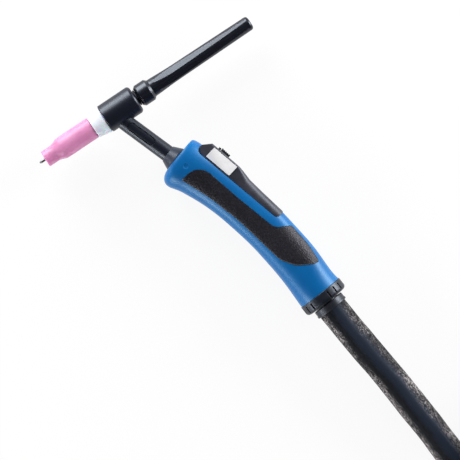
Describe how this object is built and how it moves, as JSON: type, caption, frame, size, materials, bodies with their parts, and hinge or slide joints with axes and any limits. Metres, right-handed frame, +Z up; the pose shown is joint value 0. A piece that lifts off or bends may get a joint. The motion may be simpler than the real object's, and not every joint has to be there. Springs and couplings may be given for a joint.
{
  "type": "tig welding torch",
  "caption": "Gas-cooled TIG torch with ceramic nozzle, long back cap, curved two-part grip with switch module, ball-jointed leather-sleeved hose and machine plug.",
  "frame": {"origin": "on the bench, under the middle of the torch's outline from above, without its hose and plug", "axes": "+X along the handle from the weld end to the hose, +Y towards the back cap, +Z up; the torch lies on its right side"},
  "size_m": [0.7375, 0.3491, 0.0975],
  "materials": {
    "cover_rubber": "soft satin",
    "cap_plastic": "dark, lightly worn",
    "seal_rubber": "matte",
    "nozzle_ceramic": "smooth pink",
    "insulator_white": "smooth",
    "tungsten": "ground",
    "brass": "turned",
    "copper": "copper, turned",
    "boot_grey": "smooth",
    "handle_blue": "satin moulding",
    "pad_rubber": "fine grain",
    "module_grey": "fine grain",
    "label_white": "bare",
    "button_black": "smooth",
    "board_green": "coated",
    "steel": "plated",
    "cable_red": "smooth",
    "hose_black": "smooth",
    "nut_black": "satin",
    "hose_leather": "rough grain",
    "plug_black": "satin moulding"
  },
  "bodies": {
    "torch": {"head_cover": "cover_rubber", "head_core": "brass", "collet_body": "copper", "collet": "copper", "neck_tube": "copper", "neck_boot": "boot_grey", "neck_clamp": "hose_black", "neck_fitting": "brass", "cable_nut": "brass", "power_cable": "cable_red", "gas_hose": "hose_black", "control_lead": "hose_black", "handle_shell_left": "handle_blue", "handle_shell_right": "handle_blue", "grip_pad_left": "pad_rubber", "grip_pad_right": "pad_rubber", "handle_screws": "steel", "switch_housing": "module_grey", "switch_base": "module_grey", "label_plate": "label_white", "circuit_board": "board_green", "micro_switch": "button_black", "tact_switch": "button_black", "lead_socket": "button_black", "ball_seat": "nut_black", "rear_nut": "nut_black"},
    "trigger": {"trigger_button": "button_black", "trigger_plunger": "button_black"},
    "nub": {"nub_button": "button_black", "nub_plunger": "button_black"},
    "insulator": {"nozzle_insulator": "insulator_white"},
    "nozzle": {"gas_nozzle": "nozzle_ceramic"},
    "cap_seal": {"cap_ring": "seal_rubber"},
    "cap": {"back_cap": "cap_plastic"},
    "electrode": {"tungsten_electrode": "tungsten"},
    "hose": {"hose_ball": "nut_black", "hose_ferrule": "nut_black", "hose_run": "hose_leather", "hose_coil": "hose_leather", "plug_relief": "plug_black", "plug_shell_upper": "plug_black", "plug_shell_lower": "plug_black", "plug_screws": "steel", "plug_insert": "plug_black", "contact_pin": "brass", "contact_seal": "seal_rubber", "control_pins": "brass"},
    "union": {"union_nut": "plug_black"}
  },
  "joints": [
    {"name": "trigger_press", "type": "slide", "parent": "torch", "child": "trigger", "axis": [0, -1, 0], "range_m": [0, 0.0012], "stiffness_N_per_m": 1500, "springref_m": -0.0007},
    {"name": "nub_press", "type": "slide", "parent": "torch", "child": "nub", "axis": [0, -1, 0], "range_m": [0, 0.0007], "stiffness_N_per_m": 2000, "springref_m": -0.0005},
    {"name": "nozzle_travel", "type": "slide", "parent": "torch", "child": "insulator", "axis": [-0.2284, -0.9736, 0], "range_m": [0, 0.005]},
    {"name": "nozzle_turn", "type": "hinge", "parent": "insulator", "child": "nozzle", "pos_m": [-0.10966, -0.02388, 0.02], "axis": [-0.2284, -0.9736, 0], "range_deg": [0, 1440]},
    {"name": "cap_travel", "type": "slide", "parent": "torch", "child": "cap_seal", "axis": [0.2284, 0.9736, 0], "range_m": [0, 0.005]},
    {"name": "cap_turn", "type": "hinge", "parent": "cap_seal", "child": "cap", "pos_m": [-0.10966, -0.02388, 0.02], "axis": [0.2284, 0.9736, 0], "range_deg": [0, 1800]},
    {"name": "electrode_slide", "type": "slide", "parent": "torch", "child": "electrode", "axis": [-0.2284, -0.9736, 0], "range_m": [-0.005, 0.012]},
    {"name": "hose_swivel", "type": "hinge", "parent": "torch", "child": "hose", "pos_m": [0.11316, -0.02244, 0.02], "axis": [0, 0, 1], "range_deg": [-12, 12]},
    {"name": "union_spin", "type": "hinge", "parent": "hose", "child": "union", "pos_m": [0.41448, 0.22428, 0.0755], "axis": [-1, 0, 0], "continuous": true}
  ],
  "couplings": [
    {"joint": "nozzle_travel", "follows": "nozzle_turn", "m_per_rad": 0.00019894},
    {"joint": "cap_travel", "follows": "cap_turn", "m_per_rad": 0.00015915}
  ]
}
